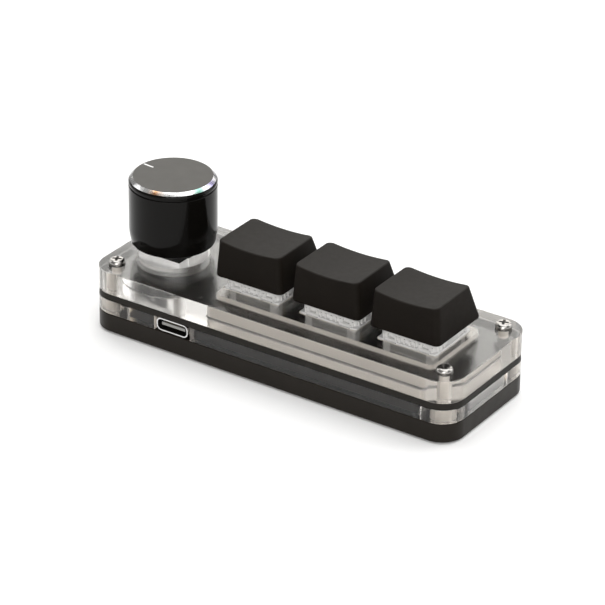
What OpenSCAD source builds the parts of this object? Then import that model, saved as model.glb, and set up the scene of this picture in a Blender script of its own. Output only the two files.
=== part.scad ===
// Three-key macro keypad with one push-to-click rotary knob.
// Millimetres, +Z up. The origin is on the desk, under the middle of the case.
// The user sits at -Y. The knob is at +X and the USB-C socket opens towards +Y.

/* [Case] */
// Length of the case, along the row of keys
case_l = 101.2; // [100.8:0.2:104]
// Depth of the case, front to back
case_w = 35.2; // [35.0:0.2:37]
// Radius of the case's vertical corners
case_r = 6; // [5:0.5:7]
// Thickness of the dark base slab
base_t = 4.8; // [4.6:0.2:6]
// Thickness of the clear middle frame, which is the space under the board
frame_t = 3.6; // [3.5:0.1:4.2]
// Thickness of the circuit board
board_t = 1.7; // [1.6:0.1:1.8]
// Thickness of the clear top plate
top_t = 5.7; // [5.6:0.1:6]
// Depth of the pocket milled into the underside of the top plate
pocket_t = 3.5; // [3.3:0.1:3.6]
// How far the rubber feet stand below the base slab
foot_out = 0.4; // [0.3:0.1:0.8]

/* [Fasteners] */
// Distance of a case screw from the middle of the case along X
screw_x = 45.7; // [45.5:0.1:46]
// Distance of a case screw from the middle of the case along Y
screw_y = 12.85; // [12.6:0.05:13]
// Diameter of the pan head of a case screw
head_d = 4; // [3.6:0.1:4]
// Height of the pan head of a case screw
head_h = 1.6; // [1.4:0.1:1.7]
// Length of a case screw under its head
screw_l = 12; // [11.5:0.5:12]

/* [Keys] */
// Distance from one key to the next
key_pitch = 21.45; // [21:0.05:21.6]
// X of the key nearest the knob
key_x0 = 10.56; // [10.4:0.02:10.8]
// Y of the row of keys and of the knob's axis
row_y = 0; // [-0.2:0.1:0.2]
// Width of a keycap at its lower edge
cap_w = 18.7; // [18.4:0.05:18.8]
// Height of a keycap from its lower edge to the corners of its top
cap_h = 9.4; // [9.3:0.05:9.6]
// Gap between the top plate and the lower edge of a keycap at rest
cap_gap = 3.4; // [3.32:0.02:3.6]
// Depth of the cylindrical dish in the top of a keycap
cap_dish = 0.75; // [0.7:0.01:1]
// Number of turns of a key spring
spring_turns = 9; // [7:1:10]

/* [Knob] */
// X of the knob's axis
knob_x = 38.48; // [38.3:0.02:38.6]
// Largest diameter of the knob
knob_d = 21.2; // [21:0.1:21.4]
// Height of the knob
knob_h = 17.2; // [17:0.1:17.6]
// Gap between the top plate and the underside of the knob at rest
knob_gap = 3.3; // [3.3:0.01:3.4]
// Direction of the pointer line at rest, in degrees from +X
pointer_a = -6; // [-90:1:90]

/* [Socket] */
// X of the USB-C socket
usb_x = 26.3; // [25.5:0.1:27]

/* [Hidden] */
$fn = 96;

e = 0.01;                               // overshoot of a cutter
z_base = foot_out;                      // underside of the base slab
z_frame = z_base + base_t;              // underside of the middle frame
z_board = z_frame + frame_t;            // underside of the board
z_top = z_board + board_t;              // underside of the top plate, and the board's upper face
z_plate = z_top + top_t;                // upper face of the top plate
key_x = [key_x0 - 2 * key_pitch, key_x0 - key_pitch, key_x0];
screws = [for (sx = [-1, 1], sy = [-1, 1]) [sx * screw_x, sy * screw_y]];

// keycap and switch heights, from the upper face of the top plate
flange_z = -0.7;                        // the switch flange sits in a shallow recess
flange_t = 1.0;
cover_top = 5.9;
shoulder_z = 6.1;                       // shoulder of the stem at rest
cross_z = 9.7;                          // tip of the cross at rest
seat_z = 2.5;                           // face of the stem that the spring pushes
floor_z = -4.5;                         // inside floor of the switch base
body_z = -top_t;                        // underside of the switch base, on the board

// encoder heights, from the board's upper face
enc_base_t = 3.1;
enc_cap_z = 6.5;                        // top of the die-cast housing
enc_plate_t = 0.4;                      // stamped bracket over it
bushing_z = 12;                         // top of the threaded bushing
shaft_z = 21.8;                         // tip of the shaft
knob_z = z_plate + knob_gap;

module rrect(w, d, r) {
  square([w - 2 * r, d], center = true);
  square([w, d - 2 * r], center = true);
  for (sx = [-1, 1], sy = [-1, 1]) translate([sx * (w / 2 - r), sy * (d / 2 - r)]) circle(r);
}

module slab(w, d, r, h) { linear_extrude(h) rrect(w, d, r); }

module block(w, d, h) { translate([-w / 2, -d / 2, 0]) cube([w, d, h]); }

module at_screws() { for (p = screws) translate([p[0], p[1], 0]) children(); }

module at_key(i) { translate([key_x[i], row_y, z_plate]) children(); }

module at_encoder() { translate([knob_x, row_y, z_top]) children(); }

// ---------- case ----------

module rubber_feet() color([0.06, 0.06, 0.06])
  for (sx = [-1, 1], sy = [-1, 1]) translate([sx * 40, sy * 10, 0]) union() {
    translate([0, 0, 0.25]) cylinder(d = 8, h = foot_out + 0.35);
    cylinder(d1 = 7.5, d2 = 8, h = 0.25);
  }

module base_plate() color([0.2, 0.19, 0.18]) translate([0, 0, z_base]) difference() {
  slab(case_l, case_w, case_r, base_t);
  // sockets for the spigots of the standoffs
  at_screws() translate([0, 0, 1.2]) cylinder(d = 3.24, h = base_t);
  // shallow seats for the feet
  for (sx = [-1, 1], sy = [-1, 1]) translate([sx * 40, sy * 10, -e]) cylinder(d = 8.1, h = 0.6 + e);
}

module middle_frame() color([0.85, 0.86, 0.86, 0.4]) translate([0, 0, z_frame]) difference() {
  slab(case_l, case_w, case_r, frame_t);
  translate([0, 0, -e]) linear_extrude(frame_t + 2 * e) {
    rrect(82.4, 28.8, 2);
    rrect(95.2, 17.2, 2);
  }
  // gap for the USB-C socket
  translate([usb_x, case_w / 2, -e]) block(10.3, 12, frame_t + 2 * e);
  at_screws() translate([0, 0, -e]) cylinder(d = 4.5, h = frame_t + 2 * e);
}

module standoffs() color([0.75, 0.75, 0.74]) at_screws() difference() {
  union() {
    translate([0, 0, z_frame]) cylinder(d = 4.2, h = frame_t);
    translate([0, 0, z_base + 1.2]) cylinder(d = 3.2, h = base_t - 1.2 + e);
  }
  translate([0, 0, z_plate - screw_l - 0.6]) cylinder(d = 2, h = 12);
}

module circuit_board() color([0.05, 0.05, 0.05]) translate([0, 0, z_board]) difference() {
  slab(case_l - 0.1, case_w - 0.1, case_r, board_t);
  translate([0, 0, -e]) {
    at_screws() cylinder(d = 2.4, h = 3);
    for (x = key_x) translate([x, row_y, 0]) {
      cylinder(d = 4.1, h = 3);
      for (s = [-1, 1]) translate([s * 5.08, 0, 0]) cylinder(d = 1.85, h = 3);
      for (p = [[-3.81, 2.54], [2.54, 5.08]]) translate([p[0], p[1], 0]) cylinder(d = 3, h = 3);
      translate([0, -4.7, 0]) block(3.6, 3.1, 3);
    }
    translate([knob_x, row_y, 0]) {
      for (x = [-2.5, 0, 2.5]) translate([x, -7, 0]) cylinder(d = 1.1, h = 3);
      for (x = [-2.5, 2.5]) translate([x, 7, 0]) cylinder(d = 1.1, h = 3);
      for (s = [-1, 1]) translate([s * 6.2, 0, 0]) block(0.7, 2.2, 3);
    }
    for (sx = [-1, 1], y = [12, 15.6]) translate([usb_x + sx * 4.32, y, 0]) block(0.6, 1.4, 3);
  }
}

module top_plate() color([0.8, 0.81, 0.81, 0.4]) translate([0, 0, z_top]) difference() {
  slab(case_l, case_w, case_r, top_t);
  at_screws() translate([0, 0, -e]) cylinder(d = 2.4, h = top_t + 2 * e);
  for (x = key_x) translate([x, row_y, 0]) {
    translate([0, 0, -e]) block(14, 14, top_t + 2 * e);
    translate([0, 0, top_t + flange_z]) slab(15.8, 15.8, 0.4, 1);
  }
  // round hole for the encoder
  translate([knob_x, row_y, -e]) cylinder(d = 17.2, h = top_t + 2 * e);
  // one pocket runs round the three switches, so that they clip into a thin web
  translate([key_x[1], row_y, -e]) slab(60.4, 21, 1.5, pocket_t + e);
}

module case_screws() color([0.8, 0.79, 0.77]) at_screws() translate([0, 0, z_plate]) difference() {
  union() {
    translate([0, 0, -screw_l]) cylinder(d = 1.96, h = screw_l + e);
    rotate_extrude() polygon(concat([[0, 0], [head_d / 2, 0], [head_d / 2, head_h - 0.95]],
      [for (a = [15:15:75]) [head_d / 2 - 0.9 + 0.9 * cos(a), head_h - 0.95 + 0.95 * sin(a)]],
      [[head_d / 2 - 0.9, head_h], [0, head_h]]));
  }
  // cross recess
  for (r = [0, 90]) rotate(r + 20) translate([0, 0, 0.6]) block(2.2, 0.6, 2);
}

// ---------- socket and board components ----------

module usb_shell() color([0.7, 0.7, 0.7]) difference() {
  union() {
    translate([usb_x, 17.5, z_board - 1.63]) rotate([90, 0, 0]) slab(8.94, 3.26, 1.3, 7.35);
    for (sx = [-1, 1], y = [12, 15.6]) translate([usb_x + sx * 4.32, y, z_board - 1.2])
      block(0.3, 1, 1.2 + board_t - 0.1);
  }
  translate([usb_x, 17.5 + e, z_board - 1.63]) rotate([90, 0, 0]) slab(8.34, 2.66, 1, 7.35 + 2 * e);
}

module usb_tongue() color([0.08, 0.08, 0.08]) union() {
  translate([usb_x, 12, z_board - 1.63]) rotate([90, 0, 0]) slab(8.3, 2.62, 0.98, 1.85);
  translate([usb_x, 12 - e + 2.45, z_board - 1.98]) block(6.69, 4.9 + e, 0.7);
}

module usb_contacts() color([0.85, 0.68, 0.35])
  for (i = [0:11], s = [-1, 1]) translate([usb_x - 2.75 + 0.5 * i, 14.5, z_board - 1.63])
    translate([0, 0, s > 0 ? 0.35 : -0.4]) block(0.25, 4, 0.05);

module controller_chip() color([0.1, 0.1, 0.1]) translate([24, -7, z_board - 0.9]) difference() {
  block(7, 7, 0.9);
  translate([-2.6, 2.6, -e]) cylinder(d = 0.6, h = 0.1);
}

module voltage_regulator() color([0.1, 0.1, 0.1]) translate([33.5, -11, z_board - 1.1]) union() {
  block(2.9, 1.6, 1.1);
  for (x = [-0.95, 0.95]) translate([x, -1.1, 0.9]) block(0.4, 1, 0.2);
  translate([0, 1.1, 0.9]) block(0.4, 1, 0.2);
}

module small_components() color([0.55, 0.45, 0.35]) {
  for (p = [[17.5, -4], [17.5, -7], [17.5, -10], [30, -4.5], [30, -7], [20, 12], [33.5, 12.5], [33.5, 9]])
    translate([p[0], p[1], z_board - 0.8]) block(0.8, 1.6, 0.8);
  translate([24, 1, z_board - 0.8]) block(3.2, 2.5, 0.8);
}

module key_leds() color([0.95, 0.95, 0.9]) for (x = key_x) translate([x, row_y - 4.7, z_board]) union() {
  translate([0, 0, -1.4]) block(3.4, 2.9, 1.4);
  translate([0, 0, -e]) block(3, 2.5, 1.1 + e);
}

module hotswap_sockets() color([0.12, 0.12, 0.12])
  for (x = key_x) translate([x, row_y, z_board - 1.9]) difference() {
    union() {
      translate([-6.6, 0.9, 0]) cube([4.4, 3.7, 1.9]);
      translate([-2.6, 3.1, 0]) cube([7.5, 3.9, 1.9]);
      for (p = [[-3.81, 2.54], [2.54, 5.08]]) translate([p[0], p[1], 1]) cylinder(d = 2.9, h = 0.9 + board_t - 0.1);
    }
    for (p = [[-3.81, 2.54], [2.54, 5.08]]) translate([p[0], p[1], -e]) cylinder(d = 1.7, h = 5);
  }

module socket_clips() color([0.8, 0.78, 0.7]) for (x = key_x) translate([x, row_y, z_board - 1.2]) {
  translate([-9.1, 1.6, 0]) cube([2.48, 1.9, 1.2]);
  translate([4.92, 4.1, 0]) cube([2.48, 1.9, 1.2]);
}

// ---------- key switches ----------

module switch_base(i) color([0.9, 0.91, 0.9, 0.5]) at_key(i) difference() {
  union() {
    translate([0, 0, flange_z]) slab(15.6, 15.6, 0.5, flange_t);
    translate([0, 0, body_z]) slab(13.9, 13.9, 0.5, flange_z - body_z + e);
    translate([0, 0, body_z - 3.1]) cylinder(d = 3.9, h = 3.1 + e);
    for (s = [-1, 1]) translate([s * 5.08, 0, body_z - 2]) cylinder(d = 1.7, h = 2 + e);
  }
  difference() {
    translate([0, 0, floor_z]) slab(11.9, 11.9, 0.5, 6);
    translate([0, 0, floor_z - e]) cylinder(d = 3.2, h = 3.1 + e);
  }
  // guide for the pole of the stem
  translate([0, 0, body_z - 1.4]) cylinder(d = 2.2, h = 9);
  // slots for the contact pins
  for (p = [[-3.81, 2.54], [2.54, 5.08]]) translate([p[0], p[1], body_z - e]) block(1.3, 0.5, 2);
}

module switch_cover(i) color([0.92, 0.93, 0.92, 0.5]) at_key(i) difference() {
  hull() {
    translate([0, 0, flange_z + flange_t]) block(14.6, 14.2, 1.2);
    translate([0, 0, cover_top - 0.1]) block(10.6, 9.8, 0.1);
  }
  hull() {
    translate([0, 0, flange_z + flange_t - e]) block(12.2, 12.2, 0.1);
    translate([0, 0, 5.1]) block(9.8, 8.4, 0.1);
  }
  translate([0, 0, 4]) block(7.4, 6.2, 4);
  // clip windows on the four corners of the skirt
  for (sx = [-1, 1], sy = [-1, 1]) translate([sx * 4.6, sy * 7.1, flange_z + flange_t - e]) block(1.8, 1, 1);
}

module switch_contacts(i) color([0.8, 0.62, 0.35]) at_key(i) {
  union() {
    translate([-3.81, 2.54, body_z - 2.9]) block(1, 0.2, 4.2 + e);
    translate([-5.6, 2.24, floor_z + 0.1]) cube([2.29, 0.6, 0.2]);
    translate([-5.6, 1.04, floor_z + 0.1]) cube([0.2, 3, 6]);
  }
  union() {
    translate([2.54, 5.08, body_z - 2.9]) block(1, 0.2, 4.2 + e);
    translate([2.04, 4.84, floor_z + 0.1]) cube([3.2, 0.6, 0.2]);
    translate([5.04, 1.4, floor_z + 0.1]) cube([0.2, 4.04, 5.6]);
  }
}

// round wire wound into a cylindrical coil between two heights
module coil(r, wire, z0, z1, turns, seg = 16, sides = 6) {
  n = turns * seg;
  pts = [for (i = [0:n], j = [0:sides - 1])
    let (a = 360 * i / seg, t = 360 * j / sides, q = r + wire * cos(t))
      [q * cos(a), q * sin(a), z0 + wire + (z1 - z0 - 2 * wire) * i / n + wire * sin(t)]];
  polyhedron(pts, concat(
    [[for (j = [0:sides - 1]) j]],
    [[for (j = [sides - 1:-1:0]) n * sides + j]],
    [for (i = [0:n - 1], j = [0:sides - 1])
      let (k = (j + 1) % sides) [i * sides + j, (i + 1) * sides + j, (i + 1) * sides + k, i * sides + k]]));
}

module switch_spring(i) color([0.75, 0.75, 0.72]) at_key(i)
  coil(2, 0.15, floor_z + 0.05, seat_z - 0.05, spring_turns);

module switch_stem(i) color([0.85, 0.84, 0.8]) at_key(i) difference() {
  union() {
    translate([0, 0, shoulder_z - e]) block(4, 1.25, cross_z - shoulder_z + e);
    translate([0, 0, shoulder_z - e]) block(1.1, 4, cross_z - shoulder_z + e);
    translate([0, 0, seat_z]) block(6.9, 5.6, shoulder_z - seat_z);
    translate([0, 0, seat_z]) block(9.2, 3, 1.9);
    translate([0, 0, -1.3]) cylinder(d = 1.9, h = seat_z + 1.3 + e);
  }
  // relief on two sides of the block
  for (s = [-1, 1]) translate([0, s * 2.8, seat_z + 1.9]) block(2.6, 0.8, 5);
}

// keycap with a dished top, a sloped front and an upright back
module keycap(i) color([0.12, 0.12, 0.11]) at_key(i) translate([0, 0, cap_gap]) difference() {
  union() {
    difference() {
      hull() {
        linear_extrude(0.4) rrect(cap_w, cap_w, 1.4, $fn = 32);
        translate([0, 1.79, cap_h - 0.02]) linear_extrude(0.02) rrect(17.3, 14.8, 1.6, $fn = 32);
      }
      hull() {
        translate([0, 0, -e]) linear_extrude(0.1) rrect(cap_w - 2.2, cap_w - 2.2, 0.8, $fn = 32);
        translate([0, 1.7, cap_h - 2.19 - 0.1]) linear_extrude(0.1) rrect(15, 12.4, 0.8, $fn = 32);
      }
    }
    translate([0, 0, shoulder_z - cap_gap + 0.05]) cylinder(d = 5.5, h = cap_h - 1.5 - shoulder_z + cap_gap);
  }
  translate([0, 0, cap_h - cap_dish + dish_r]) rotate([90, 0, 0]) cylinder(r = dish_r, h = 40, center = true);
  translate([0, 0, shoulder_z - cap_gap]) {
    block(4.1, 1.3, cross_z - shoulder_z + 0.3);
    block(1.15, 4.1, cross_z - shoulder_z + 0.3);
  }
}
dish_r = (8.65 * 8.65 + cap_dish * cap_dish) / (2 * cap_dish);

// ---------- rotary encoder ----------

module encoder_base() color([0.1, 0.1, 0.1]) at_encoder() difference() {
  block(11.8, 11.8, enc_base_t);
  translate([0, 0, 0.4]) cylinder(d = 5, h = enc_base_t);
  translate([0, 0, 2.7]) cylinder(d = 6.4, h = enc_base_t);
}

module encoder_housing() color([0.78, 0.78, 0.76]) at_encoder() difference() {
  union() {
    translate([0, 0, enc_base_t]) block(12, 12, enc_cap_z - enc_base_t);
    translate([0, 0, enc_cap_z - e]) cylinder(d = 7, h = bushing_z - 0.4 - enc_cap_z + e);
    translate([0, 0, bushing_z - 0.4]) cylinder(d1 = 7, d2 = 6.6, h = 0.4);
  }
  translate([0, 0, enc_base_t - e]) cylinder(d = 10.6, h = 2.8 + e);
  cylinder(d = 6.1, h = 20);
}

module encoder_bracket() color([0.8, 0.8, 0.79]) at_encoder() difference() {
  union() {
    translate([0, 0, enc_cap_z]) block(12, 12, enc_plate_t);
    translate([0, 0, enc_cap_z]) block(12.7, 5, enc_plate_t);
    for (s = [-1, 1]) {
      translate([s * 6.2, 0, 0.2]) block(0.3, 5, enc_cap_z + enc_plate_t - 0.2);
      translate([s * 6.2, 0, -board_t - 1]) block(0.3, 1.8, board_t + 1.3);
    }
  }
  cylinder(d = 7.2, h = 20);
}

module encoder_terminals() color([0.8, 0.78, 0.72]) at_encoder() {
  for (x = [-2.5, 0, 2.5]) translate([x, 0, 0]) union() {
    translate([-0.4, -7.15, -board_t - 1.2]) cube([0.8, 0.3, board_t + 2.7]);
    translate([-0.4, -7.15, 1.2]) cube([0.8, 1.25, 0.3]);
  }
  for (x = [-2.5, 2.5]) translate([x, 0, 0]) union() {
    translate([-0.4, 6.85, -board_t - 1.2]) cube([0.8, 0.3, board_t + 2.7]);
    translate([-0.4, 5.9, 1.2]) cube([0.8, 1.25, 0.3]);
  }
}

module encoder_wipers() color([0.8, 0.62, 0.35]) at_encoder() translate([0, 0, enc_base_t])
  for (a = [0, 120, 240]) rotate(a) rotate_extrude(angle = 70) translate([3.4, 0]) square([1.7, 0.15]);

module encoder_detent_spring() color([0.75, 0.72, 0.65]) at_encoder() union() {
  translate([0, 0, 5.6]) difference() {
    cylinder(r = 5.2, h = 0.2);
    translate([0, 0, -1]) cylinder(r = 3.4, h = 2);
  }
  for (a = [0, 180]) rotate(a) translate([4.2, 0, 5.56]) sphere(r = 0.3);
}

module encoder_dome() color([0.78, 0.77, 0.72]) at_encoder() translate([0, 0, 0.4]) rotate_extrude()
  polygon([[0, 1.05], [1, 1], [1.8, 0.6], [2.3, 0], [2.42, 0], [1.9, 0.72], [1.05, 1.12], [0, 1.17]]);

module encoder_plunger() color([0.85, 0.85, 0.82]) at_encoder() translate([0, 0, 1.65]) difference() {
  cylinder(d = 4.7, h = 1.2);
  translate([0, 0, 0.7]) cylinder(d = 3.4, h = 1);
}

module encoder_rotor() color([0.2, 0.2, 0.2]) at_encoder() difference() {
  translate([0, 0, 3.8]) cylinder(r = 5, h = 1.4);
  cylinder(d = 6.04, h = 9);
  // detent notches
  for (a = [0:18:359]) rotate(a) translate([3.6, 0, 5.35]) rotate([0, 90, 0]) cylinder(r = 0.3, h = 2);
}

module encoder_shaft() color([0.8, 0.8, 0.79]) at_encoder() difference() {
  union() {
    translate([0, 0, 3.5]) cylinder(d = 6, h = shaft_z - 3.9);
    translate([0, 0, shaft_z - 0.4 - e]) cylinder(d1 = 6, d2 = 5.2, h = 0.4 + e);
    translate([0, 0, 2.35]) cylinder(d = 3, h = 1.15 + e);
  }
  translate([1.5, -4, 14.9]) cube([4, 8, 10]);
}

// ---------- knob ----------

module at_knob() { translate([knob_x, row_y, knob_z]) children(); }

module knob_shell() color([0.08, 0.08, 0.08]) at_knob() difference() {
  rotate_extrude() polygon(concat(
    [[0, 0], [knob_d / 2 - 1, 0]],
    [for (a = [-75:15:0]) [knob_d / 2 - 1 + 0.5 * cos(a), 0.5 + 0.5 * sin(a)]],
    [for (t = [1:6]) [knob_d / 2 - 0.5 + 0.5 * sin(15 * t), 0.5 + 3.8 * t / 6]],
    [[knob_d / 2, knob_h - 2.25], [knob_d / 2 - 0.3, knob_h - 2.15], [knob_d / 2 - 0.3, knob_h - 1.8],
     [knob_d / 2, knob_h - 1.7], [knob_d / 2, knob_h - 1.1], [knob_d / 2 - 0.25, knob_h - 0.68],
     [knob_d / 2 - 1.05, knob_h], [0, knob_h]]));
  translate([0, 0, -e]) cylinder(d = 9.6, h = 13.3);
  rotate(pointer_a) translate([7.8, 0, knob_h - 0.15]) block(3.1, 0.55, 1);
}

module knob_core() color([0.15, 0.15, 0.15]) at_knob() difference() {
  translate([0, 0, 3.75]) cylinder(d = 9.56, h = 9.5);
  difference() {
    translate([0, 0, 3.7]) cylinder(d = 6.06, h = z_top + shaft_z + 0.2 - knob_z - 3.7);
    translate([1.53, -4, 6]) cube([4, 8, 10]);
  }
}

module knob_pointer() color([0.9, 0.9, 0.9]) at_knob() rotate(pointer_a)
  translate([7.8, 0, knob_h - 0.15]) block(3.08, 0.53, 0.15);

module switch_base_1() switch_base(0);
module switch_base_2() switch_base(1);
module switch_base_3() switch_base(2);
module switch_cover_1() switch_cover(0);
module switch_cover_2() switch_cover(1);
module switch_cover_3() switch_cover(2);
module switch_contacts_1() switch_contacts(0);
module switch_contacts_2() switch_contacts(1);
module switch_contacts_3() switch_contacts(2);
module switch_spring_1() switch_spring(0);
module switch_spring_2() switch_spring(1);
module switch_spring_3() switch_spring(2);
module switch_stem_1() switch_stem(0);
module switch_stem_2() switch_stem(1);
module switch_stem_3() switch_stem(2);
module keycap_1() keycap(0);
module keycap_2() keycap(1);
module keycap_3() keycap(2);

rubber_feet();
base_plate();
middle_frame();
standoffs();
circuit_board();
top_plate();
case_screws();
usb_shell();
usb_tongue();
usb_contacts();
controller_chip();
voltage_regulator();
small_components();
key_leds();
hotswap_sockets();
socket_clips();
switch_base_1();
switch_base_2();
switch_base_3();
switch_cover_1();
switch_cover_2();
switch_cover_3();
switch_contacts_1();
switch_contacts_2();
switch_contacts_3();
switch_spring_1();
switch_spring_2();
switch_spring_3();
switch_stem_1();
switch_stem_2();
switch_stem_3();
keycap_1();
keycap_2();
keycap_3();
encoder_base();
encoder_housing();
encoder_bracket();
encoder_terminals();
encoder_wipers();
encoder_detent_spring();
encoder_dome();
encoder_plunger();
encoder_rotor();
encoder_shaft();
knob_shell();
knob_core();
knob_pointer();
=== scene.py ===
import math

import bmesh
import bpy
from mathutils import Matrix, Vector


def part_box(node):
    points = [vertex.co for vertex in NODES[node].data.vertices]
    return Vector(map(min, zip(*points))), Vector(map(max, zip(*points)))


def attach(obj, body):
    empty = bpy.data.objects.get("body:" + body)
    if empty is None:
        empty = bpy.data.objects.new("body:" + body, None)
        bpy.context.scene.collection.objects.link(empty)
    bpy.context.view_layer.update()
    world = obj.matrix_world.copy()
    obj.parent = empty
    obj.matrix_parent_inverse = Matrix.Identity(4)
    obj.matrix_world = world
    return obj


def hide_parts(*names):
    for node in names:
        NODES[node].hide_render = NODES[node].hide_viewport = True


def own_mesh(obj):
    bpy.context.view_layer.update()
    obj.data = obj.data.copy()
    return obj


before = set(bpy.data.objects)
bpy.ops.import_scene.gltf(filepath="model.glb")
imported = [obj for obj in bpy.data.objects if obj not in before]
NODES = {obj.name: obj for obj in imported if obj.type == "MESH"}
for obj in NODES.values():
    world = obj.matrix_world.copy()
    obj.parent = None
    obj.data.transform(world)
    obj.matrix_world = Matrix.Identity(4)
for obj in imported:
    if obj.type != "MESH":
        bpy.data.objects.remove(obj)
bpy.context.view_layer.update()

SC = bpy.context.scene
MM = 0.001

# ---------------------------------------------------------------------------
# sizes, in millimetres, partly taken from the imported model
# ---------------------------------------------------------------------------


def node_box(name):
    lo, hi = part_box(name)
    return [c / MM for c in lo], [c / MM for c in hi]


_b0, _b1 = node_box("base_plate")
CASE_L, CASE_W, CASE_R = _b1[0] - _b0[0], _b1[1] - _b0[1], 6.0
Z_BASE, Z_FRAME = _b0[2], _b1[2]
_b0, _b1 = node_box("circuit_board")
Z_BOARD, Z_TOP = _b0[2], _b1[2]
Z_PLATE = node_box("top_plate")[1][2]
SCREWS = [(sx * 45.7, sy * 12.85) for sx in (-1, 1) for sy in (-1, 1)]
KEYS = []
for i in (1, 2, 3):
    _b0, _b1 = node_box(f"switch_base_{i}")
    KEYS.append(((_b0[0] + _b1[0]) / 2, (_b0[1] + _b1[1]) / 2))
CAP_Z = node_box("keycap_1")[0][2]
_b0, _b1 = node_box("knob_shell")
KX, KY = (_b0[0] + _b1[0]) / 2, (_b0[1] + _b1[1]) / 2
KNOB_Z, KNOB_H, KNOB_R = _b0[2], _b1[2] - _b0[2], (_b1[0] - _b0[0]) / 2
_b0, _b1 = node_box("usb_shell")
USB_X, USB_Y = (_b0[0] + _b1[0]) / 2, _b1[1]
USB_Z = Z_BOARD - 1.63
FLANGE_Z = Z_PLATE - 0.7
GAP = 0.02  # thin air film between the stacked layers

# ---------------------------------------------------------------------------
# mesh helpers
# ---------------------------------------------------------------------------


def rr(w, d, r, n=8, cx=0.0, cy=0.0, m=1):
    """Rounded rectangle, counter-clockwise; n steps a corner, m steps a straight side."""
    r = max(r, 1e-4)
    pts = []
    corners = [(w / 2 - r, -d / 2 + r, -90), (w / 2 - r, d / 2 - r, 0), (-w / 2 + r, d / 2 - r, 90), (-w / 2 + r, -d / 2 + r, 180)]
    for k, (x, y, a0) in enumerate(corners):
        for j in range(n + 1):
            a = math.radians(a0 + 90.0 * j / n)
            pts.append((cx + x + r * math.cos(a), cy + y + r * math.sin(a)))
        x2, y2, a2 = corners[(k + 1) % 4]
        p = pts[-1]
        a = math.radians(a2)
        q = (cx + x2 + r * math.cos(a), cy + y2 + r * math.sin(a))
        for j in range(1, m):
            t = j / m
            pts.append((p[0] + (q[0] - p[0]) * t, p[1] + (q[1] - p[1]) * t))
    return pts


def circle(r, n, cx=0.0, cy=0.0, a0=0.0):
    return [(cx + r * math.cos(a0 + 2 * math.pi * k / n), cy + r * math.sin(a0 + 2 * math.pi * k / n)) for k in range(n)]


def lift(pts, z):
    return [(x, y, z) for x, y in pts]


class Build:
    """Collects rings and faces, in millimetres, and turns them into one object."""

    def __init__(self):
        self.v, self.f, self.m = [], [], []

    def ring(self, pts):
        i0 = len(self.v)
        self.v += [tuple(p) for p in pts]
        return list(range(i0, i0 + len(pts)))

    def face(self, idx, mat=0):
        self.f.append(list(idx))
        self.m.append(mat)

    def bridge(self, a, b, mat=0, closed=True):
        n = len(a)
        for k in range(n if closed else n - 1):
            j = (k + 1) % n
            self.face([a[k], a[j], b[j], b[k]], mat)

    def cap(self, a, mat=0, up=True):
        self.face(a if up else a[::-1], mat)

    def fan(self, a, centre, mat=0, up=True):
        c = len(self.v)
        self.v.append(tuple(centre))
        n = len(a)
        for k in range(n):
            j = (k + 1) % n
            self.face([a[k], a[j], c] if up else [a[j], a[k], c], mat)

    def loft(self, rings, mats=0, caps=(True, True), cap_mats=None):
        """Closed solid through the rings, from the lowest to the highest."""
        idx = [self.ring(r) for r in rings]
        for k in range(len(idx) - 1):
            self.bridge(idx[k], idx[k + 1], mats if isinstance(mats, int) else mats[k])
        cm = cap_mats or (mats if isinstance(mats, int) else mats[0], mats if isinstance(mats, int) else mats[-1])
        if caps[0]:
            self.cap(idx[0], cm[0], up=False)
        if caps[1]:
            self.cap(idx[-1], cm[1], up=True)
        return idx

    def object(self, name, mats=()):
        me = bpy.data.meshes.new(name)
        me.from_pydata([(x * MM, y * MM, z * MM) for x, y, z in self.v], [], self.f)
        for m in mats:
            me.materials.append(m)
        for p, k in zip(me.polygons, self.m):
            p.material_index = k
        me.update()
        o = bpy.data.objects.new(name, me)
        SC.collection.objects.link(o)
        return o


def edge_rings(w, d, r, z0, z1, b0=0.0, b1=0.0, n=8, cx=0.0, cy=0.0, steps=3, m=1):
    """Rings of an upright rounded block whose lower and upper edges have radius b0 and b1."""
    rings = []
    if b0 > 0:
        for k in range(steps):
            a = math.pi / 2 * k / steps
            t = b0 * (1 - math.sin(a))
            rings.append(lift(rr(w - 2 * t, d - 2 * t, r - t, n, cx, cy, m), z0 + b0 * (1 - math.cos(a))))
        rings.append(lift(rr(w, d, r, n, cx, cy, m), z0 + b0))
    else:
        rings.append(lift(rr(w, d, r, n, cx, cy, m), z0))
    if b1 > 0:
        rings.append(lift(rr(w, d, r, n, cx, cy, m), z1 - b1))
        for k in range(1, steps + 1):
            a = math.pi / 2 * k / steps
            t = b1 * (1 - math.cos(a))
            rings.append(lift(rr(w - 2 * t, d - 2 * t, r - t, n, cx, cy, m), z1 - b1 + b1 * math.sin(a)))
    else:
        rings.append(lift(rr(w, d, r, n, cx, cy, m), z1))
    return rings


def prism(b, pts, z0, z1, mat=0, flare=0.0, grow=None):
    """Adds a cutter or a plain prism; flare and grow are not used."""
    b.loft([lift(pts, z0), lift(pts, z1)], mat)


def flared(b, w, d, r, z0, z1, f, n=6, cx=0.0, cy=0.0, mat=0):
    """Cutter for a window whose upper edge gets a small chamfer of size f at z1."""
    over = 0.2
    b.loft([lift(rr(w, d, r, n, cx, cy), z0), lift(rr(w, d, r, n, cx, cy), z1 - f),
            lift(rr(w + 2 * (f + over), d + 2 * (f + over), r + f + over, n, cx, cy), z1 + over)], mat)


def flared_round(b, r, z0, z1, f, n=96, cx=0.0, cy=0.0, mat=0):
    over = 0.2
    b.loft([lift(circle(r, n, cx, cy), z0), lift(circle(r, n, cx, cy), z1 - f),
            lift(circle(r + f + over, n, cx, cy), z1 + over)], mat)


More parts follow.
